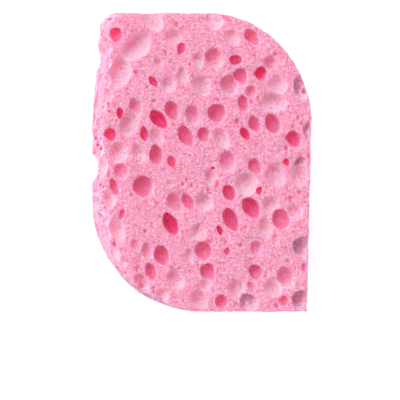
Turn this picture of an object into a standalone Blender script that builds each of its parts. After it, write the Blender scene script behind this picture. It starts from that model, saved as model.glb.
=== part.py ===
"""Cellulose sponge with coarse pores, cut from one block of foam.

Units are metres and +Z is up. The sponge lies flat on z = 0 with its long way
along Y. The origin is in the middle of its underside.
"""

import math
import random

import bmesh
import bpy
from mathutils import Matrix, Vector

MM = 0.001

# The cut block
LENGTH = 0.1200
WIDTH = 0.0882
THICKNESS = 0.0220
ROUND_RADIUS = 0.0436            # the back right and the front left corner
ROUND_STEPS = 12
CORNER_CUT = 0.0039              # knocked off the back left corner
BACK_LEAN = 0.0032               # how far the left side leans in at the back
LEAN_LENGTH = 0.0440             # over this length from the back edge
FRONT_LEAN = 0.0017              # how far the right side leans in at the front
LEFT_SLOPE = 0.0048              # how far the left wall slopes in at the top
EDGE_ROUNDING = 0.0009
EDGE_STEPS = 2
WELD_DISTANCE = 0.00001

# A pore is a piece of an egg shape. The rise is the height of the egg's middle
# above the surface, as a share of the egg's half height: a dish has its middle
# above the surface, and a cave or a shaft is widest below it. The depth is a
# share of the mouth's mean size.
DISH = {"rise": 0.40, "depth": 0.40}
BOWL = {"rise": 0.05, "depth": 0.55}
CAVE = {"rise": -0.15, "depth": 0.62}
SHAFT = {"rise": -0.22, "depth": 0.80}
DEEPEST_PORE = 0.0092
DEEPEST_SHARE = 0.45             # of the thickness, whatever the pore's size
PORE_LEAN = 0.30                 # a pore's floor lies towards the back left
MAIN_TURN = 22                   # most pores lie this many degrees to the left

# Pores of the upper face, from back to front. Each has its place in percent of
# the half width and half length, its mouth's width and length in millimetres
# and the degrees that its length turns to the left of the Y axis.
TOP_DISHES = (
    (-43, 95, 8.0, 9.6, 30), (12, 95, 7.2, 8.8, 25), (-24, 83, 6.4, 8.0, 20),
    (29, 83, 5.6, 7.6, 20), (-64, 81, 8.0, 9.6, -50), (-53, 73, 7.2, 8.8, -50),
    (-2, 68, 4.4, 7.2, 10), (-38, 66, 3.6, 5.6, 30), (-76, 64, 8.0, 8.8, -10),
    (-17, 58, 4.4, 7.2, 5), (-74, 55, 8.0, 8.8, -10), (-30, 52, 6.4, 7.2, 10),
    (70, 52, 7.2, 8.0, 45), (67, 40, 8.0, 11.2, 85), (-43, 40, 2.8, 2.8, 0),
    (-62, 30, 7.2, 7.2, 5), (-69, 20, 6.4, 7.2, 5), (-40, 17, 5.6, 8.8, 25),
    (19, 16, 6.4, 8.8, 30), (97, 16, 3.0, 6.4, 0), (-75, 6, 8.0, 8.8, 10),
    (-56, 6, 4.8, 8.8, 30), (-92, -4, 5.6, 8.4, 0), (68, -9, 7.6, 10.8, 15),
    (9, -10, 5.2, 7.2, 15),
    (-28, -15, 3.6, 3.6, 0), (42, -15, 9.6, 9.6, -30), (-84, -26, 5.6, 7.6, 0),
    (3, -27, 8.0, 8.0, 10), (64, -29, 7.2, 7.6, 20), (86, -34, 6.8, 7.2, 0),
    (59, -44, 5.6, 9.2, 10), (-76, -46, 6.0, 10.4, 20), (-2, -47, 6.4, 7.2, 10),
    (68, -52, 2.8, 4.4, 0), (-80, -63, 4.8, 9.6, 30), (-10, -63, 4.0, 5.6, 10),
    (-23, -79, 6.8, 9.2, 20), (4, -83, 4.8, 6.0, 15), (66, -84, 7.6, 8.4, 20),
    (33, -86, 6.8, 9.6, 15), (-35, -90, 5.2, 6.8, 15), (-1, -92, 7.2, 8.8, 25),
)
TOP_BOWLS = (
    (24, 96, 2.0, 5.6, 60), (-86, 92, 2.0, 4.0, 0), (-22, 92, 1.6, 3.2, 20),
    (-32, 73, 1.6, 3.2, 15), (68, 72, 1.6, 2.4, 0), (12, 69, 7.2, 8.8, 20),
    (64, 66, 5.2, 6.0, 10), (-59, 60, 1.6, 2.8, 25), (-86, 54, 3.2, 6.4, 0),
    (27, 51, 7.6, 8.8, 15), (1, 51, 6.8, 8.0, 30), (93, 50, 4.0, 9.2, 15),
    (46, 47, 4.8, 5.2, 0), (-89, 44, 1.6, 2.8, 0), (-84, 38, 1.6, 2.8, 0),
    (-59, 37, 5.6, 7.6, 25), (15, 32, 7.6, 7.6, 0), (-7, 31, 6.0, 8.8, 20),
    (33, 27, 2.0, 2.8, 0), (84, 24, 1.6, 2.0, 0), (25, 0, 6.8, 9.2, 20),
    (-84, -6, 1.6, 5.6, 0), (-72, -7, 6.0, 7.2, 10), (89, -7, 6.8, 10.4, 5),
    (15, -15, 2.0, 4.0, 0), (90, -21, 2.0, 2.4, 0), (82, -25, 2.4, 3.2, 20),
    (-23, -28, 6.0, 9.6, 30), (-87, -32, 2.0, 3.2, 0), (-87, -39, 2.0, 2.4, 0),
    (8, -54, 2.4, 2.0, 0), (-79, -55, 1.6, 2.8, 15), (-60, -56, 3.2, 4.8, 15),
    (51, -58, 5.2, 6.0, 10), (91, -58, 6.8, 8.4, 10), (-49, -60, 4.0, 7.2, 10),
    (94, -71, 2.4, 4.4, 0), (-58, -72, 2.0, 2.8, -20), (78, -78, 7.2, 9.2, 20),
    (-53, -82, 6.8, 8.8, 30), (46, -84, 2.4, 5.6, 30), (45, -95, 8.0, 7.2, -10),
    (92, -94, 7.6, 9.6, 20),
)
TOP_CAVES = (
    (47, 83, 4.4, 8.0, 40), (-85, 65, 1.6, 3.6, 0), (37, 57, 5.6, 7.6, 25),
    (39, 39, 4.4, 7.2, 15), (-26, 34, 5.2, 8.4, 20), (49, 25, 4.8, 6.8, 25),
    (66, 25, 6.0, 9.2, 25), (3, 18, 5.2, 6.8, 15), (-13, 17, 5.6, 9.6, 30),
    (-40, 4, 5.6, 8.8, 15), (50, -3, 4.8, 6.8, 30), (-79, -17, 3.2, 7.2, 20),
    (-52, -17, 8.0, 9.2, 15), (-11, -27, 4.4, 7.6, 25), (-72, -35, 2.8, 4.4, -15),
    (74, -39, 7.6, 8.4, 20), (3, -60, 7.2, 8.0, 25), (24, -60, 2.4, 3.2, 10),
    (-35, -63, 6.0, 9.2, 20), (-45, -74, 4.0, 8.0, 20), (7, -74, 6.0, 7.2, 30),
    (50, -74, 5.6, 6.8, 25), (76, -93, 3.2, 4.0, 0), (19, -94, 4.8, 6.0, 15),
)
TOP_SHAFTS = (
    (-77, 85, 5.2, 6.4, 5), (-18, 76, 3.2, 4.8, -15), (32, 68, 5.2, 4.4, 0),
    (55, 59, 4.8, 6.0, 10), (-44, 54, 2.6, 4.8, 35), (-74, 33, 3.2, 4.8, 0),
    (-38, 28, 5.2, 9.6, 40), (40, 19, 3.4, 6.0, 30), (-52, 19, 3.2, 6.4, 10),
    (-82, 18, 4.8, 5.6, 25), (85, 15, 5.6, 6.8, 20), (78, 0, 2.4, 3.6, 20),
    (-27, 0, 3.2, 4.8, 25), (11, -4, 2.0, 1.6, 0), (53, -19, 2.8, 3.6, 0),
    (26, -21, 4.8, 6.8, 25), (46, -31, 6.4, 9.6, 35), (28, -39, 5.6, 10.0, 25),
    (-27, -42, 5.6, 10.0, 25), (17, -46, 2.4, 4.4, 15),
)

# Pores that the cut opened from top to bottom: place in percent, and the size
# across and along in millimetres
OPEN_NOTCHES = (
    (-98, 103, 7.2, 7.2), (-97, 70, 4.4, 9.6), (-100, -3, 5.4, 11.0),
)

# Pores of the underside and of the walls are scattered, with mouths between
# the two sizes. The middle of the underside is left flat.
UNDERSIDE_SEED = 23
UNDERSIDE_PORES = 60
WALL_SEED = 7
WALL_PORES = 60
SMALLEST_MOUTH = 0.0026
LARGEST_MOUTH = 0.0080
SMALL_SHARE = 1.1                # above 1, more of the pores are small
LONGEST_MOUTH = 1.5              # length of a mouth as a share of its width
TURN_SPREAD = 12
RESTING_LAND = 0.0070            # radius of the flat middle
WALL_MARGIN = 0.0010             # left above and below a pore of the wall
PORE_SPACING = 0.80              # distance of scattered pores, as a share of touching
SHALLOW_WALL = -0.75             # a wall that faces further left than this has dishes only
SCATTER_TRIES = 4000

# Facets round the ball that cuts a pore, by the mouth's mean size, and bands
# of facets from pole to pole
SMALL_PORE = 0.0030
SMALL_FACETS = 5
MIDDLE_FACETS = 7
LARGE_PORE = 0.0068
LARGE_FACETS = 9
NOTCH_FACETS = 10
FEW_BANDS = 4
MORE_BANDS = 6

FOAM_COLOUR = (0.92, 0.35, 0.51, 1.0)
FOAM_ROUGHNESS = 0.85


def clear_scene():
    """Remove the objects that a new file starts with."""
    for item in list(bpy.data.objects):
        bpy.data.objects.remove(item, do_unlink=True)


def new_collection(name):
    """Add a collection to the scene."""
    collection = bpy.data.collections.new(name)
    bpy.context.scene.collection.children.link(collection)
    return collection


def arc(middle, radius, start, end):
    """Points of an arc, both ends included, with angles in degrees."""
    points = []
    for step in range(ROUND_STEPS + 1):
        angle = math.radians(start + (end - start) * step / ROUND_STEPS)
        x = middle[0] + radius * math.cos(angle)
        y = middle[1] + radius * math.sin(angle)
        points.append((x, y))
    return points


def block_outline():
    """The block from above, anticlockwise from its front right corner."""
    half_width = WIDTH / 2
    half_length = LENGTH / 2
    radius = min(ROUND_RADIUS, min(WIDTH, LENGTH) - CORNER_CUT - BACK_LEAN)
    back_right = (half_width - radius, half_length - radius)
    front_left = (radius - half_width, radius - half_length)
    left_at_back = BACK_LEAN - half_width
    points = [(half_width - FRONT_LEAN, -half_length)]
    points += arc(back_right, radius, 0, 90)
    points.append((left_at_back + CORNER_CUT, half_length))
    points.append((left_at_back, half_length - CORNER_CUT))
    points.append((-half_width, half_length - LEAN_LENGTH))
    points += arc(front_left, radius, 180, 270)
    return points


def sloped(point, height):
    """Move a point of the outline inwards, as the left wall slopes."""
    distance_from_right = WIDTH / 2 - point[0]
    inwards = LEFT_SLOPE * height / THICKNESS * distance_from_right / WIDTH
    return (point[0] + inwards, point[1])


def make_block(collection):
    """The plain block: its outline raised to its thickness, with soft edges."""
    outline = block_outline()
    curve = bpy.data.curves.new("block_outline", "CURVE")
    curve.dimensions = "2D"
    curve.fill_mode = "BOTH"
    curve.extrude = THICKNESS / 2
    spline = curve.splines.new("POLY")
    spline.points.add(len(outline) - 1)
    for spline_point, point in zip(spline.points, outline):
        spline_point.co = (point[0], point[1], 0, 1)
    spline.use_cyclic_u = True
    guide = bpy.data.objects.new("block_outline", curve)
    guide.location.z = THICKNESS / 2
    collection.objects.link(guide)
    bpy.context.view_layer.update()

    seen = guide.evaluated_get(bpy.context.evaluated_depsgraph_get())
    mesh = bpy.data.meshes.new_from_object(seen)
    mesh.transform(guide.matrix_world)
    bpy.data.objects.remove(guide, do_unlink=True)
    block_mesh = bmesh.new()
    block_mesh.from_mesh(mesh)
    bmesh.ops.remove_doubles(block_mesh, verts=block_mesh.verts, dist=WELD_DISTANCE)
    for corner in block_mesh.verts:
        corner.co.x = sloped(corner.co, corner.co.z)[0]
    block_mesh.to_mesh(mesh)
    block_mesh.free()

    block = bpy.data.objects.new("sponge", mesh)
    collection.objects.link(block)
    rounding = block.modifiers.new("soft_edges", "BEVEL")
    rounding.width = EDGE_ROUNDING
    rounding.segments = EDGE_STEPS
    rounding.limit_method = "ANGLE"
    return block


def pore_facets(mouth, kind):
    """Facets round a pore and bands down it: small and shallow pores have few."""
    if mouth < SMALL_PORE:
        return SMALL_FACETS, FEW_BANDS
    if mouth < LARGE_PORE:
        return MIDDLE_FACETS, FEW_BANDS
    if kind is DISH:
        return LARGE_FACETS, FEW_BANDS
    return LARGE_FACETS, MORE_BANDS


def facet_growth(facets):
    """How much larger a ring of facets is than the circle of the same area."""
    return math.sqrt(2 * math.pi / (facets * math.sin(2 * math.pi / facets)))


def add_cutter(collection, name, shape, facets, bands):
    """A unit ball moved and stretched by the matrix, used only for cutting."""
    mesh = bpy.data.meshes.new(name)
    ball = bmesh.new()
    bmesh.ops.create_uvsphere(ball, u_segments=facets, v_segments=bands, radius=1, matrix=shape)
    ball.to_mesh(mesh)
    ball.free()
    cutter = bpy.data.objects.new(name, mesh)
    cutter.hide_render = True
    cutter.display_type = "WIRE"
    collection.objects.link(cutter)


def surface_frame(place, outward, upward):
    """A frame on the surface: width, length and outward directions."""
    across = upward.cross(outward)
    turn = Matrix((across, upward, outward)).transposed().to_4x4()
    return Matrix.Translation(place) @ turn


def add_pore(collection, frame, width, length, turn, kind, lean=PORE_LEAN):
    """Cut one pore whose mouth lies on the frame's surface."""
    mouth = math.sqrt(width * length)
    facets, bands = pore_facets(mouth, kind)
    depth = min(mouth * kind["depth"], DEEPEST_PORE, THICKNESS * DEEPEST_SHARE)
    half_height = depth / (1 - kind["rise"])
    widening = facet_growth(facets) / math.sqrt(1 - kind["rise"] ** 2)
    half_sizes = Vector((width / 2 * widening, length / 2 * widening, half_height))
    middle = Matrix.Translation((0, 0, kind["rise"] * half_height))
    slant = Matrix.Identity(4)
    slant[0][2] = lean
    slant[1][2] = -lean
    turned = Matrix.Rotation(math.radians(turn), 4, "Z")
    shape = frame @ slant @ middle @ turned @ Matrix.Diagonal(half_sizes).to_4x4()
    add_cutter(collection, "pore", shape, facets, bands)


def add_top_pores(collection):
    """The pores of the upper face, where they are seen."""
    tables = ((DISH, TOP_DISHES), (BOWL, TOP_BOWLS), (CAVE, TOP_CAVES), (SHAFT, TOP_SHAFTS))
    for kind, pores in tables:
        for across, along, width, length, turn in pores:
            place = Vector((across / 100 * WIDTH / 2, along / 100 * LENGTH / 2, THICKNESS))
            frame = surface_frame(place, Vector((0, 0, 1)), Vector((0, 1, 0)))
            add_pore(collection, frame, width * MM, length * MM, turn, kind)


def add_notches(collection):
    """Pores that the cut left open along the whole height of the wall."""
    for across, along, width, length in OPEN_NOTCHES:
        middle = Vector((across / 100 * WIDTH / 2, along / 100 * LENGTH / 2, THICKNESS / 2))
        half_sizes = Vector((width / 2 * MM, length / 2 * MM, THICKNESS))
        shape = Matrix.Translation(middle) @ Matrix.Diagonal(half_sizes).to_4x4()
        add_cutter(collection, "notch", shape, NOTCH_FACETS, MORE_BANDS)


def scattered_mouth(chance):
    """Width, length, turn and kind of a scattered pore."""
    share = chance.random() ** SMALL_SHARE
    width = SMALLEST_MOUTH + (LARGEST_MOUTH - SMALLEST_MOUTH) * share
    length = width * chance.uniform(1.0, LONGEST_MOUTH)
    turn = chance.gauss(MAIN_TURN, TURN_SPREAD)
    kind = chance.choice((DISH, BOWL, CAVE))
    return width, length, turn, kind


def has_room(place, mouth, taken):
    """Whether a pore keeps its distance from those already placed."""
    for other_place, other_mouth in taken:
        apart = (mouth + other_mouth) / 2 * PORE_SPACING
        if (place - other_place).length < apart:
            return False
    return True


def add_underside_pores(collection):
    """Pores of the underside, clear of the flat land in its middle."""
    chance = random.Random(UNDERSIDE_SEED)
    taken = []
    for attempt in range(SCATTER_TRIES):
        if len(taken) == UNDERSIDE_PORES:
            break
        width, length, turn, kind = scattered_mouth(chance)
        mouth = math.sqrt(width * length)
        place = Vector((chance.uniform(-0.5, 0.5) * WIDTH, chance.uniform(-0.5, 0.5) * LENGTH, 0))
        if place.length < RESTING_LAND + length:
            continue
        if not has_room(place, mouth, taken):
            continue
        taken.append((place, mouth))
        frame = surface_frame(place, Vector((0, 0, -1)), Vector((0, 1, 0)))
        add_pore(collection, frame, width, length, turn, kind)


def wall_place(outline, share, height):
    """A place on the wall at a share of the way round, and its outward way."""
    sides = []
    for start, end in zip(outline, outline[1:] + outline[:1]):
        sides.append((Vector(start), Vector(end)))
    distance = share * sum((end - start).length for start, end in sides)
    for start, end in sides:
        side_length = (end - start).length
        if distance <= side_length:
            break
        distance -= side_length
    along = (end - start).normalized()
    x, y = sloped(start + along * distance, height)
    return Vector((x, y, height)), Vector((along.y, -along.x, 0))


def add_wall_pores(collection):
    """Pores that the cut opened in the walls."""
    chance = random.Random(WALL_SEED)
    outline = block_outline()
    taken = []
    for attempt in range(SCATTER_TRIES):
        if len(taken) == WALL_PORES:
            break
        width, length, turn, kind = scattered_mouth(chance)
        mouth = math.sqrt(width * length)
        reach = min(length / 2 + WALL_MARGIN, THICKNESS / 2)
        height = chance.uniform(reach, THICKNESS - reach)
        place, outward = wall_place(outline, chance.random(), height)
        if not has_room(place, mouth, taken):
            continue
        taken.append((place, mouth))
        if outward.x < SHALLOW_WALL:
            kind = DISH
        frame = surface_frame(place, outward, Vector((0, 0, 1)))
        add_pore(collection, frame, width, length, turn, kind, lean=0)


def largest_piece(mesh):
    """Keep the sponge and drop the crumbs that the pores cut free."""
    foam = bmesh.new()
    foam.from_mesh(mesh)
    left = set(foam.faces)
    pieces = []
    while left:
        piece = {left.pop()}
        edge_of_piece = list(piece)
        while edge_of_piece:
            face = edge_of_piece.pop()
            for edge in face.edges:
                for neighbour in edge.link_faces:
                    if neighbour in left:
                        left.remove(neighbour)
                        piece.add(neighbour)
                        edge_of_piece.append(neighbour)
        pieces.append(piece)
    pieces.sort(key=len, reverse=True)
    for crumb in pieces[1:]:
        bmesh.ops.delete(foam, geom=list(crumb), context="FACES")
    bmesh.ops.triangulate(foam, faces=foam.faces)
    foam.to_mesh(mesh)
    foam.free()


def cut_pores(block, cutters):
    """Cut every pore out of the block in one go."""
    pores = block.modifiers.new("pores", "BOOLEAN")
    pores.operation = "DIFFERENCE"
    pores.operand_type = "COLLECTION"
    pores.collection = cutters
    pores.solver = "EXACT"
    bpy.context.view_layer.update()
    seen = block.evaluated_get(bpy.context.evaluated_depsgraph_get())
    mesh = bpy.data.meshes.new_from_object(seen)
    largest_piece(mesh)
    block.modifiers.clear()
    block.data = mesh
    mesh.name = "sponge"


def foam_material():
    """Dyed cellulose foam."""
    material = bpy.data.materials.new("pink_foam")
    material.use_nodes = True
    shader = material.node_tree.nodes["Principled BSDF"]
    shader.inputs["Base Color"].default_value = FOAM_COLOUR
    shader.inputs["Roughness"].default_value = FOAM_ROUGHNESS
    shader.inputs["Metallic"].default_value = 0
    return material


def main():
    clear_scene()
    parts = new_collection("cellulose_sponge")
    cutters = new_collection("cutters")
    block = make_block(parts)
    add_top_pores(cutters)
    add_notches(cutters)
    add_underside_pores(cutters)
    add_wall_pores(cutters)
    cut_pores(block, cutters)
    block.data.materials.clear()
    block.data.materials.append(foam_material())


main()
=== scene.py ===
"""Looks of the cellulose sponge: its foam, and the floor, light and camera.

The foam is worked out as a field of distances on a fine grid: the cut block,
less every pore. The surface of that field becomes the mesh. Most pores seen
from above have the place and size that the solid part gives them. A few
neighbouring dishes are one here, and pores at the edges are a little larger.
"""

import math
import random

import bpy
import numpy as np
from mathutils import Matrix, Vector


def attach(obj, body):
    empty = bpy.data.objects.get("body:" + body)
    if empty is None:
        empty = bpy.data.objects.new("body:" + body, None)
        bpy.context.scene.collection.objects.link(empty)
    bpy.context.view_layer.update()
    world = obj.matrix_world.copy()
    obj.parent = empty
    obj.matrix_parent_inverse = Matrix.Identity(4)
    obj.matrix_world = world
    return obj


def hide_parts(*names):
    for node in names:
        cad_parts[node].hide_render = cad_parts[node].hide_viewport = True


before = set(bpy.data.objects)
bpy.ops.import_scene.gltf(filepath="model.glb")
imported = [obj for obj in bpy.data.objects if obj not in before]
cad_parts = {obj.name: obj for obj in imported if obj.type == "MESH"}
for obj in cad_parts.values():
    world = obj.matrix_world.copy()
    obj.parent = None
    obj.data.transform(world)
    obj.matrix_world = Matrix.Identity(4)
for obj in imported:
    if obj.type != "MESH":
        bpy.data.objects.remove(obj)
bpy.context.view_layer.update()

MM = 0.001
UP = Vector((0, 0, 1))
DOWN = Vector((0, 0, -1))
BACK = Vector((0, 1, 0))
BLACK = (0, 0, 0, 1)
WHITE = (1, 1, 1, 1)

# The cut block, in metres: its sizes are the solid part's
LENGTH = 0.1200
WIDTH = 0.0882
THICKNESS = 0.0220
ROUND_RADIUS = 0.0436            # the back right and the front left corner
ROUND_STEPS = 24
CORNER_CUT = 0.0039              # knocked off the back left corner
BACK_LEAN = 0.0032               # how far the left side leans in at the back
LEAN_LENGTH = 0.0440             # over this length from the back edge
FRONT_LEAN = 0.0017              # how far the right side leans in at the front
LEFT_SLOPE = 0.0048              # how far the left wall slopes in at the top
SLOPE_CURVE = 2.6                # mostly near the top; the solid, at 1, slopes evenly
EDGE_ROUNDING = 0.0009

# Kinds of pore. An egg cuts each one. Its middle is above the cut face by rise,
# as a share of its half height. Depth is a share of the mouth, and lean slants
# the pore to the back left. The last two values are painted shade: the first is
# how crimson a pore is painted where it is deep, with painted mauve shade below
# zero, and the second paints its back left, away from the key lamp, redder than
# that and its front right paler, as painted light.
DISH = {"rise": 0.40, "depth": 0.42, "lean": 0.22, "blush": 0.16, "turning": 0.20}
BOWL = {"rise": 0.05, "depth": 0.52, "lean": 0.22, "blush": 0.36, "turning": 0.06}
CAVE = {"rise": -0.15, "depth": 0.62, "lean": 0.20, "blush": 0.68, "turning": 0.00}
SHAFT = {"rise": -0.22, "depth": 0.72, "lean": 0.10, "blush": 0.90, "turning": 0.00}
WELL = {"rise": -0.22, "depth": 0.74, "lean": 0.10, "blush": 1.00, "turning": 0.00}
EDGE = {"rise": 0.05, "depth": 0.55, "lean": 0.45, "blush": -0.28, "turning": -0.30}
SCALLOP = {"rise": 0.35, "depth": 0.48, "lean": -0.10, "blush": 0.10, "turning": 0.00}
LIP = {"rise": 0.50, "depth": 0.30, "lean": 0.00, "blush": 0.50, "turning": 0.14}
SOFT_RIM = 0.00012               # how far rims are rounded off
LIP_SHARE = 0.030                # the lip takes this much of a mouth all round
LIP_SHIFT = 0.032                # and this much more of it at the front right
SMALLEST_LIP = 4.0               # millimetres: narrower pores have no lip
DEEPEST_PORE = 0.0092
FULL_PORE_SHADE = (0.05, 0.45)        # depth in mouths where the painted shade starts and is full
SMALL_MOUTH = 0.0040             # smaller pores get more painted crimson shade
SMALL_PORE_SHADE = 150                # more painted shade for each metre below that
MAIN_TURN = 22                   # degrees that most pores are turned to the left

# Pores of the upper face: place in percent of the half width and half length,
# width and length of the mouth in millimetres, degrees turned to the left
TOP_DISHES = (
    (-43, 95, 8.0, 9.6, 30), (12, 95, 7.2, 8.8, 25), (-24, 83, 6.4, 8.0, 20),
    (29, 83, 5.6, 7.6, 20), (-59, 77, 8.8, 15.0, -50), (-2, 68, 4.4, 7.2, 10),
    (-38, 66, 3.6, 5.6, 30), (-74, 60, 8.6, 14.0, -14), (-17, 58, 4.4, 7.2, 5),
    (-30, 52, 6.4, 7.2, 10), (1, 51, 6.8, 8.8, 25), (70, 52, 7.2, 8.0, 45),
    (67, 40, 8.0, 11.2, 85), (-43, 40, 2.8, 2.8, 0), (-65, 25, 7.2, 13.2, -20),
    (-40, 17, 5.6, 8.8, 25), (19, 16, 6.4, 8.8, 30), (-75, 6, 8.0, 8.8, 10),
    (-56, 6, 4.8, 8.8, 30), (-92, -4, 5.6, 8.4, 0), (68, -9, 7.6, 10.8, 15),
    (90, -9, 7.2, 10.4, 5), (9, -10, 5.2, 7.2, 15), (-28, -15, 3.6, 3.6, 0),
    (42, -15, 9.6, 9.6, -30), (-84, -26, 5.6, 7.6, 0), (3, -27, 8.0, 8.0, 10),
    (64, -29, 7.2, 7.6, 20), (86, -34, 6.8, 7.2, 0), (59, -44, 5.6, 9.2, 10),
    (-76, -46, 6.0, 10.4, 20), (-2, -47, 6.4, 7.2, 10), (68, -52, 2.8, 4.4, 0),
    (-80, -63, 4.8, 9.6, 30), (-10, -63, 4.0, 5.6, 10), (-23, -79, 6.8, 9.2, 20),
    (4, -83, 4.8, 6.0, 15), (66, -84, 7.6, 8.4, 20), (33, -86, 6.8, 9.6, 15),
    (-35, -90, 5.2, 6.8, 15), (-1, -92, 7.2, 8.8, 25),
)
TOP_BOWLS = (
    (24, 96, 2.0, 5.6, 60), (-86, 92, 2.0, 4.0, 0), (-22, 92, 1.6, 3.2, 20),
    (-32, 73, 1.6, 3.2, 15), (68, 72, 1.6, 2.4, 0), (12, 69, 7.2, 8.8, 20),
    (64, 66, 5.2, 6.0, 10), (-59, 60, 1.6, 2.8, 25), (-86, 54, 3.2, 6.4, 0),
    (27, 51, 7.6, 8.8, 15), (46, 47, 4.8, 5.2, 0), (-89, 44, 1.6, 2.8, 0),
    (-84, 38, 1.6, 2.8, 0), (-59, 37, 5.6, 7.6, 25), (-7, 31, 6.0, 8.8, 20),
    (33, 27, 2.0, 2.8, 0), (84, 24, 1.6, 2.0, 0), (25, 0, 6.8, 9.2, 20),
    (-84, -6, 1.6, 5.6, 0), (-72, -7, 6.0, 7.2, 10), (15, -15, 2.0, 4.0, 0),
    (90, -21, 2.0, 2.4, 0), (82, -25, 2.4, 3.2, 20), (-23, -28, 6.0, 9.6, 30),
    (-87, -32, 2.0, 3.2, 0), (-87, -39, 2.0, 2.4, 0), (8, -54, 2.4, 2.0, 0),
    (-79, -55, 1.6, 2.8, 15), (-60, -56, 3.2, 4.8, 15), (51, -58, 5.2, 6.0, 10),
    (-49, -60, 4.0, 7.2, 10), (94, -71, 2.4, 4.4, 0), (-58, -72, 2.0, 2.8, -20),
    (78, -78, 7.2, 9.2, 20), (-54, -81, 6.0, 8.4, 30), (46, -84, 2.4, 5.6, 30),
)
TOP_CAVES = (
    (47, 83, 4.4, 8.0, 40), (-85, 65, 1.6, 3.6, 0), (37, 57, 5.6, 7.6, 25),
    (39, 39, 4.4, 7.2, 15), (-26, 34, 5.2, 8.4, 20), (49, 25, 4.8, 6.8, 25),
    (15, 32, 7.6, 7.8, 0), (66, 25, 6.0, 9.2, 25), (3, 18, 5.2, 6.8, 15),
    (-13, 17, 5.6, 9.6, 30), (-40, 4, 5.6, 8.8, 15), (50, -3, 4.8, 6.8, 30),
    (-79, -17, 3.2, 7.2, 20), (-52, -17, 8.0, 9.2, 15), (-11, -27, 4.4, 7.6, 25),
    (-72, -35, 2.8, 4.4, -15), (74, -39, 7.6, 8.4, 20), (3, -60, 7.2, 8.0, 25),
    (24, -60, 2.4, 3.2, 10), (-35, -63, 6.0, 9.2, 20), (-45, -74, 4.0, 8.0, 20),
    (7, -74, 6.0, 7.2, 30), (50, -74, 5.6, 6.8, 25), (76, -93, 3.2, 4.0, 0),
    (19, -94, 4.8, 6.0, 15),
)
TOP_SHAFTS = (
    (-77, 85, 5.2, 6.4, 5), (-18, 76, 3.2, 4.8, -15), (32, 68, 5.2, 4.4, 0),
    (-52, 19, 3.2, 6.4, 10), (-82, 18, 4.8, 5.6, 25), (85, 15, 5.6, 6.8, 20),
    (-27, 0, 3.2, 4.8, 25), (53, -19, 2.8, 3.6, 0), (26, -21, 4.8, 6.8, 25),
    (46, -31, 6.4, 9.6, 35), (28, -39, 5.6, 10.0, 25),
)
TOP_WELLS = (
    (55, 59, 4.8, 6.0, 10), (-44, 54, 2.3, 5.2, 38), (-74, 33, 3.2, 4.8, 0),
    (-38, 28, 5.2, 9.6, 40), (40, 19, 3.4, 6.0, 30), (78, 0, 2.4, 3.6, 20),
    (11, -4, 2.0, 1.6, 0), (-27, -42, 5.6, 10.0, 25), (17, -46, 2.4, 4.4, 15),
)
# Pores that the cut opened at the right and front edges, shaded by the wall and painted with mauve
# shade
TOP_EDGE_PORES = (
    (92, 50, 6.4, 10.4, 8), (98, 20, 3.2, 8.8, 0), (91, -1, 5.2, 4.8, 30),
    (94, -58, 8.8, 9.2, 10), (44, -95, 7.2, 7.6, -10), (93, -94, 8.0, 9.2, 20),
)
# Pale pores at the sloped left edge
TOP_SCALLOPS = (
    (-92, -3, 6.0, 9.4, 0), (-83, -65, 6.4, 10.8, 30),
)
# Pores that the cut left open down the whole left wall: place in percent, width
# and length in millimetres
OPEN_NOTCHES = (
    (-98, 103, 7.2, 7.2), (-97, 70, 4.4, 9.6), (-100, -3, 5.4, 11.0),
)
# Pinholes of the upper face: place in percent, width in millimetres
PINHOLES = (
    (-73, 94, 1.0), (-41, 85, 0.9), (-50, 70, 1.0), (-8, 58, 1.0), (34, 85, 0.9),
    (49, 71, 1.0), (53, 32, 0.9), (-30, 12, 0.9), (78, 6, 0.9), (42, -51, 1.0),
    (-43, -54, 0.9), (25, -76, 1.0), (26, -70, 0.9), (-3, -69, 1.0),
    (-13, -47, 0.9), (-46, -7, 1.0), (20, 30, 1.0), (68, 22, 0.8), (47, 46, 0.9),
)

# Scattered pores: the solid part's own come first, from the same draws
UNDERSIDE_SEED = 23
UNDERSIDE_PORES = 60
WALL_SEED = 7
WALL_PORES = 60
SMALLEST_MOUTH = 0.0026
LARGEST_MOUTH = 0.0080
SMALL_SHARE = 1.1
LONGEST_MOUTH = 1.5              # in widths
TURN_SPREAD = 12
RESTING_LAND = 0.0070            # radius of the plain middle of the underside
WALL_MARGIN = 0.0010
PORE_SPACING = 0.80              # 1 is mouth to mouth
SHALLOW_WALL = -0.75             # walls that face further left have dishes only
SCATTER_TRIES = 4000
EXTRA_SEED = 41
EXTRA_UNDERSIDE_PORES = 66
EXTRA_WALL_PORES = 42
PIT_SEED = 5
SMALLEST_PIT = 0.0008
LARGEST_PIT = 0.0016
PITS_ON_TOP = 150
PITS_BELOW = 170
PITS_ON_WALLS = 170
SCOOP_SEED = 8
SCOOPS = 26                      # along the upper left edge
SMALLEST_SCOOP = 0.0020
LARGEST_SCOOP = 0.0052
SCOOP_STRETCH = (-0.34, 0.46)    # of the length, from its middle
SCOOP_SPREAD = (-0.0022, 0.0012)  # to the left and right of the edge
SCOOP_TILT = (0.4, 1.0)          # how much they face to the left

# The grid, and how uneven the foam is on it
CELL = 0.00033
RIM_OF_CELLS = 5                 # round the block
REACH = 0.0016                   # how far round an egg the field is worked out
NEAR_MIDDLE = 0.2                # of an egg: nearer, distances are not needed
LAND_SEED = 11
# Waves of the cut face and of the pore walls: the length and height of each
LAND_WAVES = ((0.0060, 0.00014), (0.0022, 0.00012), (0.0011, 0.00010))
PORE_WAVES = ((0.0034, 0.00019), (0.0014, 0.00012))
TAPER = (-0.22, 0.00)            # a pore narrows towards its front end
BEND = (-0.06, 0.10)             # its ends turn to the right
POINTED = 0.50                   # and a long pore comes to a point
POINTED_PART = 6                 # and is wider by this part of its pointedness
MOST_TRIANGLES = 196000

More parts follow.
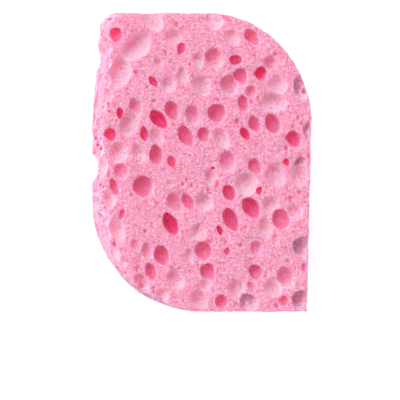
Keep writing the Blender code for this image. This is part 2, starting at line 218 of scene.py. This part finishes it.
# Camera over the sponge: the middle of its view, and how wide a stretch it sees at
# the height of the upper face
VIEW_MIDDLE = (-0.0005, -0.0152)
VIEW_WIDTH = 0.1608
CAMERA_HEIGHT = 3.0
CAMERA_SIGHT = 20
SENSOR = 36                      # millimetres

# Light: a soft key from the back left, a weak low lamp from the left and an even
# white all round. Azimuth 0 is from the left and 270 from the back. A share of 1
# is full light on flat ground.
KEY_AZIMUTH = 310
KEY_ELEVATION = 46
KEY_SHARE = 0.34
SIDE_AZIMUTH = 350
SIDE_ELEVATION = 14
SIDE_SHARE = 0.06
LAMP_ANGLE = 32
ROUND_SHARE = 0.73

FLOOR_SIDE = 3.0
FLOOR_DROP = 0.0001
FLOOR_COLOUR = (0.93, 0.93, 0.93, 1)
FLOOR_LIFT = 0.50                # towards white, where the camera sees it

# The foam's colours: the cut face, the pores by their painted shade, and what lies on both
LAND_PINK = (0.92, 0.36, 0.54, 1)
SPECK_PINK = (0.60, 0.14, 0.27, 1)
FLECK_PINK = (1.00, 0.76, 0.87, 1)
# Pale at the low end, paler than the cut face: painted light on lit pore walls. Crimson at the high
# end: painted shade deep in pores.
PORE_STOPS = (
    (0.00, (1.00, 0.60, 0.74, 1)), (0.12, (1.00, 0.50, 0.66, 1)),
    (0.24, (1.00, 0.39, 0.585, 1)), (0.34, (1.00, 0.31, 0.515, 1)),
    (0.62, (1.00, 0.235, 0.435, 1)), (0.88, (1.00, 0.16, 0.37, 1)),
    (1.00, (1.00, 0.07, 0.27, 1)),
)
# Painted mauve shade of the pores at the right and front edges
PAINTED_SHADE_PINK = (0.73, 0.32, 0.49, 1)
LAND_ROUGHNESS = 0.90
PORE_ROUGHNESS = 0.48

# Where each part of the finish starts and is full, on the value it follows
PORE_START = (0.15, 0.9)         # millimetres below the cut face
CRIMSON_SHADE_START = (0.05, 0.50)     # painted crimson shade of the pores
PAINTED_SHADE_START = (0.0, 0.30)       # painted mauve shade, below zero
FLECK_START = (0.50, 0.66)
SPECK_START = (0.55, 0.68)
PATCH_START = (0.35, 0.75)
GRAIN_SIZE = 0.00100
SPECK_SIZE = 0.00086
PATCH_SIZE = 0.0060
# How strong the spots are on the cut face, and how much less in pores and where crimson shade is
# painted
FLECK_SHARES = (0.52, 0.12, 0.30)
SPECK_SHARES = (0.54, 0.26, 0.20)
PATCH_SHARE = 0.15
BUMP_HEIGHT = 0.0007
SMOOTHER_IN_PORE = 0.35
SPECK_DEPTH = 0.4
# How far light goes into the foam, and how much of that for red, green and blue
GLOW_REACH = 0.0100
GLOW_COLOUR = (0.78, 0.10, 0.18)


def arc(middle, radius, start, end):
    """Points of an arc, both ends included, with angles in degrees."""
    points = []
    for step in range(ROUND_STEPS + 1):
        angle = math.radians(start + (end - start) * step / ROUND_STEPS)
        x = middle[0] + radius * math.cos(angle)
        y = middle[1] + radius * math.sin(angle)
        points.append((x, y))
    return points


def block_outline():
    """The block from above, anticlockwise from its front right corner."""
    half_width = WIDTH / 2
    half_length = LENGTH / 2
    back_right = (half_width - ROUND_RADIUS, half_length - ROUND_RADIUS)
    front_left = (ROUND_RADIUS - half_width, ROUND_RADIUS - half_length)
    left_at_back = BACK_LEAN - half_width
    points = [(half_width - FRONT_LEAN, -half_length)]
    points += arc(back_right, ROUND_RADIUS, 0, 90)
    points.append((left_at_back + CORNER_CUT, half_length))
    points.append((left_at_back, half_length - CORNER_CUT))
    points.append((-half_width, half_length - LEAN_LENGTH))
    points += arc(front_left, ROUND_RADIUS, 180, 270)
    return points


def sloped(point, height):
    """Move a point of the outline inwards, as the left wall slopes."""
    distance_from_right = WIDTH / 2 - point[0]
    inwards = LEFT_SLOPE * height / THICKNESS * distance_from_right / WIDTH
    return (point[0] + inwards, point[1])


def sides_of(outline):
    """The outline's sides that have a length, as pairs of points."""
    sides = []
    for start, end in zip(outline, outline[1:] + outline[:1]):
        if (Vector(end) - Vector(start)).length > CELL / 10:
            sides.append((Vector(start), Vector(end)))
    return sides


class FoamField:
    """Distances to the foam's surface on a grid, below zero inside it."""

    def __init__(self):
        rim = CELL * RIM_OF_CELLS
        self.axes = []
        for low, high in ((-WIDTH / 2, WIDTH / 2), (-LENGTH / 2, LENGTH / 2), (0, THICKNESS)):
            self.axes.append(np.arange(low - rim, high + rim, CELL, dtype=np.float32))
        self.corner = np.array([axis[0] for axis in self.axes])
        self.shape = tuple(len(axis) for axis in self.axes)
        self.chance = np.random.default_rng(LAND_SEED)
        self.distance = self.block() + self.waves(LAND_WAVES)
        self.land = self.distance.copy()
        self.mouth = np.full(self.shape, LARGEST_MOUTH, np.float32)
        self.blush = np.zeros(self.shape, np.float32)
        self.lumps = self.waves(PORE_WAVES)

    def block(self):
        """Distance to the plain block with rounded edges."""
        x, y, z = self.axes
        slope = LEFT_SLOPE / WIDTH * np.clip(z / THICKNESS, 0, 1) ** SLOPE_CURVE
        unsloped = (x[:, None] - slope * WIDTH / 2) / (1 - slope)
        side = np.full(self.shape, -1, np.float32)
        for start, end in sides_of(block_outline()):
            along = (end - start).normalized()
            across = np.float32(along.y) * unsloped
            back = np.float32(-along.x) * y - np.float32(along.y * start.x - along.x * start.y)
            np.maximum(side, across[:, None, :] + back[None, :, None], out=side)
        lid = np.abs(z - THICKNESS / 2) - THICKNESS / 2
        side += EDGE_ROUNDING
        lid = np.broadcast_to(lid + EDGE_ROUNDING, self.shape)
        outside = np.hypot(np.maximum(side, 0), np.maximum(lid, 0))
        return (outside + np.minimum(np.maximum(side, lid), 0) - EDGE_ROUNDING).astype(np.float32)

    def waves(self, waves):
        """Smooth unevenness: each wave has its length and its height."""
        total = np.zeros(self.shape, np.float32)
        for wave_length, height in waves:
            spans = []
            for axis in self.axes:
                position = (axis - axis[0]) / wave_length
                before = position.astype(int)
                share = position - before
                share = share * share * (3 - 2 * share)
                span = np.zeros((len(axis), before[-1] + 2), np.float32)
                rows = np.arange(len(axis))
                span[rows, before] = 1 - share
                span[rows, before + 1] = share
                spans.append(span)
            knots = self.chance.normal(0, 1, [span.shape[1] for span in spans]).astype(np.float32)
            wave = np.tensordot(spans[0], knots, axes=(1, 0))
            wave = np.tensordot(wave, spans[2], axes=(2, 1))
            wave = np.einsum("xkz,yk->xyz", wave, spans[1], optimize=True)
            total += height * wave
        return total

    def window(self, middle, reach):
        """The part of the grid round a place, and its coordinates."""
        slices = []
        for axis, place, distance in zip(self.axes, middle, reach):
            first, last = np.searchsorted(axis, (place - distance, place + distance))
            slices.append(slice(first, last))
        x, y, z = (axis[part] for axis, part in zip(self.axes, slices))
        return tuple(slices), np.stack(np.meshgrid(x, y, z, indexing="ij"), axis=-1)

    def cut(self, shape, mouth, kind, taper=0.0, bend=0.0, pointed=0.0):
        """Take away a lumpy egg: a unit ball moved and stretched by the matrix."""
        shape = np.array(shape)
        reach = np.sqrt((shape[:3, :3] ** 2).sum(axis=1)) * (1 + abs(taper) + abs(bend)) + REACH
        window, places = self.window(shape[:3, 3], reach)
        if not places.size:
            return
        stretch = np.linalg.inv(shape[:3, :3])
        ball = (places - shape[:3, 3]) @ stretch.T
        along = np.clip(ball[..., 1], -1, 1)
        ball[..., 0] = (ball[..., 0] - bend * (along ** 2 - 0.5)) * (1 + taper * along)
        ball[..., 0] *= 1 + pointed * along ** 2
        size = np.maximum(np.linalg.norm(ball, axis=-1), NEAR_MIDDLE)
        steepness = np.linalg.norm(ball @ stretch, axis=-1) / size
        egg = (size - 1) / np.maximum(steepness, 1)
        egg += min(1, mouth / SMALL_MOUTH) * self.lumps[window]
        foam = self.distance[window]
        opened = -egg > foam - CELL
        self.mouth[window][opened] = mouth
        # Painted shade: crimson where a pore is deep, redder at its back left, away from the key
        # lamp
        frontwards = (places[..., 0] - shape[0, 3] - places[..., 1] + shape[1, 3]) / mouth
        blush = kind["blush"] + max(0, SMALL_MOUTH - mouth) * SMALL_PORE_SHADE
        self.blush[window][opened] = (blush - kind["turning"] * frontwards)[opened]
        blend = np.maximum(SOFT_RIM - np.abs(foam + egg), 0) ** 2 / (4 * SOFT_RIM)
        self.distance[window] = np.maximum(foam, -egg) + blend

    def at(self, values, places):
        """The grid's values at places between its points."""
        cells = (places - self.corner) / CELL
        before = np.clip(cells.astype(int), 0, np.array(self.shape) - 2)
        share = cells - before
        total = np.zeros(len(places))
        for corner in np.ndindex(2, 2, 2):
            part = np.prod(np.where(corner, share, 1 - share), axis=1)
            x, y, z = (before + corner).T
            total += part * values[x, y, z]
        return total

    def pore_shade_at(self, places):
        """Painted shade at each place: how crimson the foam is painted, most deep in a narrow pore.
        """
        depth = -self.at(self.land, places) / self.at(self.mouth, places)
        share = np.clip((depth - FULL_PORE_SHADE[0]) / (FULL_PORE_SHADE[1] - FULL_PORE_SHADE[0]), 0, 1)
        return share * self.at(self.blush, places)


def surface_frame(place, outward, upward):
    """A frame on the surface: width, length and outward directions."""
    across = upward.cross(outward)
    turn = Matrix((across, upward, outward)).transposed().to_4x4()
    return Matrix.Translation(place) @ turn


def add_pore(foam, place_frame, width, length, turn, kind, taper=0, bend=0, lean=1):
    """Cut a pore: an egg whose middle lies above or below the frame's surface."""
    mouth = math.sqrt(width * length)
    depth = min(mouth * kind["depth"], DEEPEST_PORE)
    half_height = depth / (1 - kind["rise"])
    widening = 1 / math.sqrt(1 - kind["rise"] ** 2)
    pointed = POINTED * min(1, length / width - 1)
    fuller = 1 + pointed / POINTED_PART
    half_sizes = Vector((width / 2 * widening * fuller, length / 2 * widening, half_height))
    middle = Matrix.Translation((0, 0, kind["rise"] * half_height))
    slant = Matrix.Identity(4)
    slant[0][2] = kind["lean"] * lean
    slant[1][2] = -kind["lean"] * lean
    turned = Matrix.Rotation(math.radians(turn), 4, "Z")
    shape = place_frame @ slant @ middle @ turned @ Matrix.Diagonal(half_sizes).to_4x4()
    foam.cut(shape, mouth, kind, taper, bend, pointed)


def on_top(across, along):
    """The surface frame at a place of the upper face, in percent."""
    place = Vector((across / 100 * WIDTH / 2, along / 100 * LENGTH / 2, THICKNESS))
    return surface_frame(place, UP, BACK)


def add_top_pores(foam):
    """The pores of the upper face, where they are seen."""
    chance = random.Random(LAND_SEED)
    tables = (
        (DISH, TOP_DISHES), (BOWL, TOP_BOWLS), (CAVE, TOP_CAVES), (SHAFT, TOP_SHAFTS),
        (WELL, TOP_WELLS), (EDGE, TOP_EDGE_PORES), (SCALLOP, TOP_SCALLOPS),
    )
    for kind, pores in tables:
        for across, along, width, length, turn in pores:
            taper, bend = chance.uniform(*TAPER), chance.uniform(*BEND)
            place = on_top(across, along)
            if width >= SMALLEST_LIP and kind not in (DISH, EDGE, SCALLOP):
                add_pore(foam, place, width * MM, length * MM, turn, LIP, taper, bend)
                shift = LIP_SHIFT * math.sqrt(width * length) * MM
                place = place @ Matrix.Translation((-shift, shift, 0))
                width, length = width * (1 - LIP_SHARE), length * (1 - LIP_SHARE)
            add_pore(foam, place, width * MM, length * MM, turn, kind, taper, bend)
    for across, along, width in PINHOLES:
        add_pore(foam, on_top(across, along), width * MM, width * MM, 0, CAVE)


def add_notches(foam):
    """Pores that the cut left open along the whole height of the wall."""
    for across, along, width, length in OPEN_NOTCHES:
        middle = Vector((across / 100 * WIDTH / 2, along / 100 * LENGTH / 2, THICKNESS / 2))
        half_sizes = Vector((width / 2 * MM, length / 2 * MM, THICKNESS))
        shape = Matrix.Translation(middle) @ Matrix.Diagonal(half_sizes).to_4x4()
        foam.cut(shape, width * MM, DISH)


def scattered_mouth(chance):
    """Width, length, turn and kind of a scattered pore."""
    share = chance.random() ** SMALL_SHARE
    width = SMALLEST_MOUTH + (LARGEST_MOUTH - SMALLEST_MOUTH) * share
    length = width * chance.uniform(1.0, LONGEST_MOUTH)
    turn = chance.gauss(MAIN_TURN, TURN_SPREAD)
    kind = chance.choice((DISH, BOWL, CAVE))
    return width, length, turn, kind


def has_room(place, mouth, taken):
    """Whether a pore keeps its distance from those already placed."""
    for other_place, other_mouth in taken:
        apart = (mouth + other_mouth) / 2 * PORE_SPACING
        if (place - other_place).length < apart:
            return False
    return True


def add_underside_pores(foam, chance, taken, most, land):
    """Pores of the underside, clear of a flat land in its middle."""
    for _ in range(SCATTER_TRIES):
        if len(taken) == most:
            break
        width, length, turn, kind = scattered_mouth(chance)
        mouth = math.sqrt(width * length)
        place = Vector((chance.uniform(-0.5, 0.5) * WIDTH, chance.uniform(-0.5, 0.5) * LENGTH, 0))
        if place.length < land + length * (land > 0):
            continue
        if not has_room(place, mouth, taken):
            continue
        taken.append((place, mouth))
        add_pore(foam, surface_frame(place, DOWN, BACK), width, length, turn, kind)


def wall_place(outline, share, height):
    """A place on the wall at a share of the way round, and its outward way."""
    sides = sides_of(outline)
    distance = share * sum((end - start).length for start, end in sides)
    for start, end in sides:
        side_length = (end - start).length
        if distance <= side_length:
            break
        distance -= side_length
    along = (end - start).normalized()
    x, y = sloped(start + along * distance, height)
    return Vector((x, y, height)), Vector((along.y, -along.x, 0))


def add_wall_pores(foam, chance, taken, most):
    """Pores that the cut opened in the walls."""
    outline = block_outline()
    for _ in range(SCATTER_TRIES):
        if len(taken) == most:
            break
        width, length, turn, kind = scattered_mouth(chance)
        mouth = math.sqrt(width * length)
        reach = min(length / 2 + WALL_MARGIN, THICKNESS / 2)
        height = chance.uniform(reach, THICKNESS - reach)
        place, outward = wall_place(outline, chance.random(), height)
        if not has_room(place, mouth, taken):
            continue
        taken.append((place, mouth))
        if outward.x < SHALLOW_WALL:
            kind = DISH
        add_pore(foam, surface_frame(place, outward, UP), width, length, turn, kind, lean=0)


def add_pits(foam):
    """Small open pits between the pores."""
    chance = random.Random(PIT_SEED)
    outline = block_outline()
    for number in range(PITS_ON_TOP + PITS_BELOW + PITS_ON_WALLS):
        width = chance.uniform(SMALLEST_PIT, LARGEST_PIT)
        across = chance.uniform(-0.5, 0.5) * WIDTH
        along = chance.uniform(-0.5, 0.5) * LENGTH
        height = chance.uniform(0, THICKNESS)
        round_share = chance.random()
        if number < PITS_ON_TOP:
            pit_frame = surface_frame(Vector((across, along, THICKNESS)), UP, BACK)
        elif number < PITS_ON_TOP + PITS_BELOW:
            pit_frame = surface_frame(Vector((across, along, 0)), DOWN, BACK)
        else:
            place, outward = wall_place(outline, round_share, height)
            pit_frame = surface_frame(place, outward, UP)
        add_pore(foam, pit_frame, width, width * LONGEST_MOUTH, MAIN_TURN, BOWL)


def add_scoops(foam):
    """Shallow scoops that make the upper left edge uneven."""
    chance = random.Random(SCOOP_SEED)
    for _ in range(SCOOPS):
        width = chance.uniform(SMALLEST_SCOOP, LARGEST_SCOOP)
        length = width * chance.uniform(1.0, LONGEST_MOUTH)
        along = chance.uniform(*SCOOP_STRETCH) * LENGTH
        across = LEFT_SLOPE - WIDTH / 2 + chance.uniform(*SCOOP_SPREAD)
        across += BACK_LEAN * max(0, along - (LENGTH / 2 - LEAN_LENGTH)) / LEAN_LENGTH
        turned_in = max(0, ROUND_RADIUS - LENGTH / 2 - along)
        across += ROUND_RADIUS - math.sqrt(ROUND_RADIUS ** 2 - turned_in ** 2)
        outward = Vector((-chance.uniform(*SCOOP_TILT), 0, 1)).normalized()
        drop = max(0, LEFT_SLOPE - WIDTH / 2 - across)
        place = Vector((across, along, THICKNESS - drop))
        add_pore(foam, surface_frame(place, outward, BACK), width, length, 0, DISH, lean=0)


def net_surface(foam):
    """Points and four-sided faces of the surface where the distance is zero."""
    field = foam.distance
    cells = tuple(size - 1 for size in foam.shape)
    cell_count = int(np.prod(cells))
    sums = np.zeros((3, cell_count))
    crossings = np.zeros(cell_count)
    rings = []
    for axis in range(3):
        low = np.take(field, range(foam.shape[axis] - 1), axis=axis)
        high = np.take(field, range(1, foam.shape[axis]), axis=axis)
        edges = np.argwhere((low < 0) != (high < 0))
        values_low = low[tuple(edges.T)]
        values_high = high[tuple(edges.T)]
        points = edges.astype(float)
        points[:, axis] += values_low / (values_low - values_high)
        second, third = (axis + 1) % 3, (axis + 2) % 3
        ring = []
        for back_second, back_third in ((1, 1), (0, 1), (0, 0), (1, 0)):
            corner = edges.copy()
            corner[:, second] -= back_second
            corner[:, third] -= back_third
            cell = np.ravel_multi_index(tuple(corner.T), cells)
            ring.append(cell)
            crossings += np.bincount(cell, minlength=cell_count)
            for part in range(3):
                sums[part] += np.bincount(cell, weights=points[:, part], minlength=cell_count)
        ring = np.stack(ring, axis=1)
        outward = values_low < values_high
        rings.append(np.where(outward[:, None], ring, ring[:, ::-1]))
    used = np.flatnonzero(crossings)
    points = (sums[:, used] / crossings[used]).T * CELL + foam.corner
    number = np.full(cell_count, -1)
    number[used] = np.arange(len(used))
    return points, number[np.concatenate(rings)]


def make_mesh(name, points, faces):
    """A mesh from arrays of points and of faces with as many corners each."""
    mesh = bpy.data.meshes.new(name)
    corners = faces.shape[1]
    mesh.vertices.add(len(points))
    mesh.vertices.foreach_set("co", points.astype(np.float32).ravel())
    mesh.loops.add(faces.size)
    mesh.loops.foreach_set("vertex_index", faces.astype(np.int32).ravel())
    mesh.polygons.add(len(faces))
    mesh.polygons.foreach_set("loop_start", np.arange(0, faces.size, corners, dtype=np.int32))
    mesh.update(calc_edges=True)
    mesh.validate()
    return mesh


def largest_body(count, faces):
    """Which faces belong to the largest body that hangs together."""
    label = np.arange(count)
    while True:
        lowest = label[faces].min(axis=1)
        joined = label.copy()
        np.minimum.at(joined, faces.ravel(), np.repeat(lowest, faces.shape[1]))
        joined = joined[joined]
        if (joined == label).all():
            break
        label = joined
    bodies, sizes = np.unique(label[faces[:, 0]], return_counts=True)
    return faces[label[faces[:, 0]] == bodies[sizes.argmax()]]


def mesh_arrays(mesh):
    """Points and triangles of a mesh that has only triangles."""
    points = np.empty(len(mesh.vertices) * 3, np.float32)
    mesh.vertices.foreach_get("co", points)
    triangles = np.empty(len(mesh.loops), np.int32)
    mesh.loops.foreach_get("vertex_index", triangles)
    return points.reshape(-1, 3), triangles.reshape(-1, 3)


def thinned(mesh):
    """The same surface with at most the given number of triangles."""
    holder = bpy.data.objects.new("holder", mesh)
    bpy.context.scene.collection.objects.link(holder)
    thinner = holder.modifiers.new("thinner", "DECIMATE")
    thinner.ratio = min(1, MOST_TRIANGLES / (2 * len(mesh.polygons)))
    thinner.use_collapse_triangulate = True
    bpy.context.view_layer.update()
    seen = holder.evaluated_get(bpy.context.evaluated_depsgraph_get())
    result = bpy.data.meshes.new_from_object(seen)
    bpy.data.objects.remove(holder, do_unlink=True)
    return result


def make_foam():
    """The foam block with all its pores, as one mesh."""
    foam = FoamField()
    add_pits(foam)
    add_scoops(foam)
    add_top_pores(foam)
    add_notches(foam)
    below, walls = [], []
    add_underside_pores(foam, random.Random(UNDERSIDE_SEED), below, UNDERSIDE_PORES, RESTING_LAND)
    add_wall_pores(foam, random.Random(WALL_SEED), walls, WALL_PORES)
    extra = random.Random(EXTRA_SEED)
    add_underside_pores(foam, extra, below, UNDERSIDE_PORES + EXTRA_UNDERSIDE_PORES, 0)
    add_wall_pores(foam, extra, walls, WALL_PORES + EXTRA_WALL_PORES)

    points, faces = net_surface(foam)
    points, triangles = mesh_arrays(thinned(make_mesh("net", points, faces)))
    triangles = largest_body(len(points), triangles)
    used, triangles = np.unique(triangles, return_inverse=True)
    points = points[used]
    points[:, 2] = np.maximum(points[:, 2], 0)
    mesh = make_mesh("foam_block", points, triangles.reshape(-1, 3))
    mesh.shade_smooth()
    depth = mesh.attributes.new("depth", "FLOAT", "POINT")
    depth.data.foreach_set("value", (-foam.at(foam.land, points) / MM).astype(np.float32))
    # The pores' painted shade, for the finish to colour them by
    blush = mesh.attributes.new("blush", "FLOAT", "POINT")
    blush.data.foreach_set("value", foam.pore_shade_at(points).astype(np.float32))
    block = bpy.data.objects.new("foam_block", mesh)
    bpy.context.scene.collection.objects.link(block)
    return block


class Shade:
    """A shader value that Python's operators work on."""

    def __init__(self, finish, socket):
        self.finish = finish
        self.socket = socket

    def maths(self, operation, *values):
        made = self.finish.node("ShaderNodeMath", {"operation": operation}, dict(enumerate(values)))
        return made[0]

    def __add__(self, other):
        return self.maths("ADD", self, other)

    def __sub__(self, other):
        return self.maths("SUBTRACT", self, other)

    def __rsub__(self, other):
        return self.maths("SUBTRACT", other, self)

    def __mul__(self, other):
        return self.maths("MULTIPLY", self, other)

    __radd__ = __add__
    __rmul__ = __mul__


class Finish:
    """A material and the nodes that make it."""

    def __init__(self, name, tree=None):
        if tree is None:
            self.material = bpy.data.materials.new(name)
            self.material.use_nodes = True
            tree = self.material.node_tree
        self.tree = tree
        self.tree.nodes.clear()

    def node(self, kind, settings=None, sockets=None):
        """Add a node: its settings first, then its sockets. Gives its outputs."""
        made = self.tree.nodes.new(kind)
        for name, value in (settings or {}).items():
            if name == "stops":
                self.set_stops(made.color_ramp, value)
            else:
                setattr(made, name, value)
        for name, value in (sockets or {}).items():
            if isinstance(value, Shade):
                self.tree.links.new(value.socket, made.inputs[name])
            else:
                made.inputs[name].default_value = value
        return [Shade(self, socket) for socket in made.outputs]

    @staticmethod
    def set_stops(ramp, stops):
        """Give a ramp its stops: pairs of a place and a colour."""
        while len(ramp.elements) < len(stops):
            ramp.elements.new(1)
        for element, (place, colour) in zip(ramp.elements, stops):
            element.position = place
            element.color = colour

    def mix(self, share, first, second):
        """A colour between two colours."""
        settings = {"data_type": "RGBA"}
        return self.node("ShaderNodeMix", settings, {0: share, 6: first, 7: second})[2]

    def between(self, value, low, high):
        """0 below the low value, 1 above the high one, smooth between."""
        settings = {"interpolation_type": "SMOOTHSTEP"}
        sockets = {"Value": value, "From Min": low, "From Max": high}
        return self.node("ShaderNodeMapRange", settings, sockets)[0]

    def grain(self, place, size, detail=2.0):
        """Even noise whose spots have the given size in metres."""
        sockets = {"Vector": place, "Scale": 1 / size, "Detail": detail}
        return self.node("ShaderNodeTexNoise", None, sockets)[0]


def foam_finish():
    """Dyed cellulose foam: grainy where it was cut, smoother inside the pores, which carry painted
    shade and painted light.
    """
    finish = Finish("pink_foam")
    place = finish.node("ShaderNodeTexCoord")[3]
    depth = finish.node("ShaderNodeAttribute", {"attribute_name": "depth"})[2]
    blush = finish.node("ShaderNodeAttribute", {"attribute_name": "blush"})[2]
    grain = finish.grain(place, GRAIN_SIZE, 1)
    in_pore = finish.between(depth, *PORE_START)
    # Masks of the painted shade: crimson deep in pores, mauve at the edge pores
    crimson_shade = finish.between(blush, *CRIMSON_SHADE_START)
    painted_shade = finish.between(0 - blush, *PAINTED_SHADE_START)
    flecks = finish.between(grain, *FLECK_START)
    specks = finish.between(finish.grain(place, SPECK_SIZE, 1), *SPECK_START)
    patches = finish.between(finish.grain(place, PATCH_SIZE), *PATCH_START)

    # Pore colour: painted crimson shade where deep, painted mauve shade at the edges, and pale
    # painted light where the shade is low
    colour = finish.node("ShaderNodeValToRGB", {"stops": PORE_STOPS}, {0: blush})[0]
    colour = finish.mix(painted_shade, colour, PAINTED_SHADE_PINK)
    colour = finish.mix(in_pore, LAND_PINK, colour)
    both_spots = ((flecks, FLECK_PINK, FLECK_SHARES), (specks, SPECK_PINK, SPECK_SHARES))
    for spots, spot_colour, (on_land, less_in_pore, less_in_crimson) in both_spots:
        share = spots * (on_land - less_in_pore * in_pore - less_in_crimson * crimson_shade)
        colour = finish.mix(share, colour, spot_colour)
    colour = finish.mix(patches * PATCH_SHARE, colour, SPECK_PINK)
    height = grain * (1 - SMOOTHER_IN_PORE * in_pore) - SPECK_DEPTH * specks
    sockets = {"Strength": 1.0, "Distance": BUMP_HEIGHT, "Height": height}
    bump = finish.node("ShaderNodeBump", None, sockets)[0]
    sockets = {
        "Base Color": colour,
        "Roughness": LAND_ROUGHNESS - (LAND_ROUGHNESS - PORE_ROUGHNESS) * in_pore,
        "Normal": bump,
        "Specular IOR Level": 0.5,
        "Subsurface Weight": 1.0,
        "Subsurface Radius": GLOW_COLOUR,
        "Subsurface Scale": GLOW_REACH,
    }
    surface = finish.node("ShaderNodeBsdfPrincipled", None, sockets)[0]
    finish.node("ShaderNodeOutputMaterial", None, {"Surface": surface})
    return finish.material


def floor_finish():
    """White floor that keeps the sponge's shadow and is white to the camera."""
    finish = Finish("pale_floor")
    seen = finish.node("ShaderNodeLightPath")[0]
    sockets = {
        "Base Color": FLOOR_COLOUR,
        "Roughness": 1.0,
        "Specular IOR Level": 0.0,
        "Emission Color": finish.mix(seen, BLACK, WHITE),
        "Emission Strength": FLOOR_LIFT,
    }
    surface = finish.node("ShaderNodeBsdfPrincipled", None, sockets)[0]
    finish.node("ShaderNodeOutputMaterial", None, {"Surface": surface})
    return finish.material


def make_floor():
    """The pale floor that the sponge lies on."""
    half = FLOOR_SIDE / 2
    points = np.array(((-half, -half, 0), (half, -half, 0), (half, half, 0), (-half, half, 0)))
    mesh = make_mesh("floor", points - (0, 0, FLOOR_DROP), np.array(((0, 1, 2, 3),)))
    floor = bpy.data.objects.new("floor", mesh)
    bpy.context.scene.collection.objects.link(floor)
    mesh.materials.append(floor_finish())
    return floor


def add_lamp(name, azimuth, elevation, share):
    """A soft far lamp that gives flat ground the given share of full light."""
    lamp = bpy.data.lights.new(name, "SUN")
    lamp.energy = share * math.pi / math.sin(math.radians(elevation))
    lamp.angle = math.radians(LAMP_ANGLE)
    holder = bpy.data.objects.new(name, lamp)
    holder.rotation_euler = (math.radians(90 - elevation), 0, math.radians(azimuth + 270))
    bpy.context.scene.collection.objects.link(holder)


def make_light():
    """The two lamps, and even white light all round."""
    world = bpy.data.worlds.new("studio")
    bpy.context.scene.world = world
    world.use_nodes = True
    finish = Finish("studio", world.node_tree)
    path = finish.node("ShaderNodeLightPath")
    camera_ray, glossy_ray, transmission_ray = path[0], path[3], path[6]
    seen = finish.between(camera_ray + glossy_ray + transmission_ray, 0, 1)
    sockets = {"Color": WHITE, "Strength": ROUND_SHARE + (1 - ROUND_SHARE) * seen}
    background = finish.node("ShaderNodeBackground", None, sockets)[0]
    finish.node("ShaderNodeOutputWorld", None, {"Surface": background})

    add_lamp("key", KEY_AZIMUTH, KEY_ELEVATION, KEY_SHARE)
    add_lamp("side", SIDE_AZIMUTH, SIDE_ELEVATION, SIDE_SHARE)


def make_camera():
    """A camera straight above the sponge, with its back edge up."""
    lens = bpy.data.cameras.new("camera")
    lens.sensor_width = SENSOR
    lens.lens = SENSOR * CAMERA_HEIGHT / VIEW_WIDTH
    lens.clip_end = CAMERA_SIGHT
    camera = bpy.data.objects.new("camera", lens)
    camera.location = (VIEW_MIDDLE[0], VIEW_MIDDLE[1], THICKNESS + CAMERA_HEIGHT)
    bpy.context.scene.collection.objects.link(camera)
    bpy.context.scene.camera = camera


def main():
    bpy.context.scene.view_settings.view_transform = "Standard"
    foam_block = make_foam()
    foam_block.data.materials.append(foam_finish())
    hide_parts("sponge")
    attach(foam_block, "root")
    make_floor()
    make_light()
    make_camera()


main()
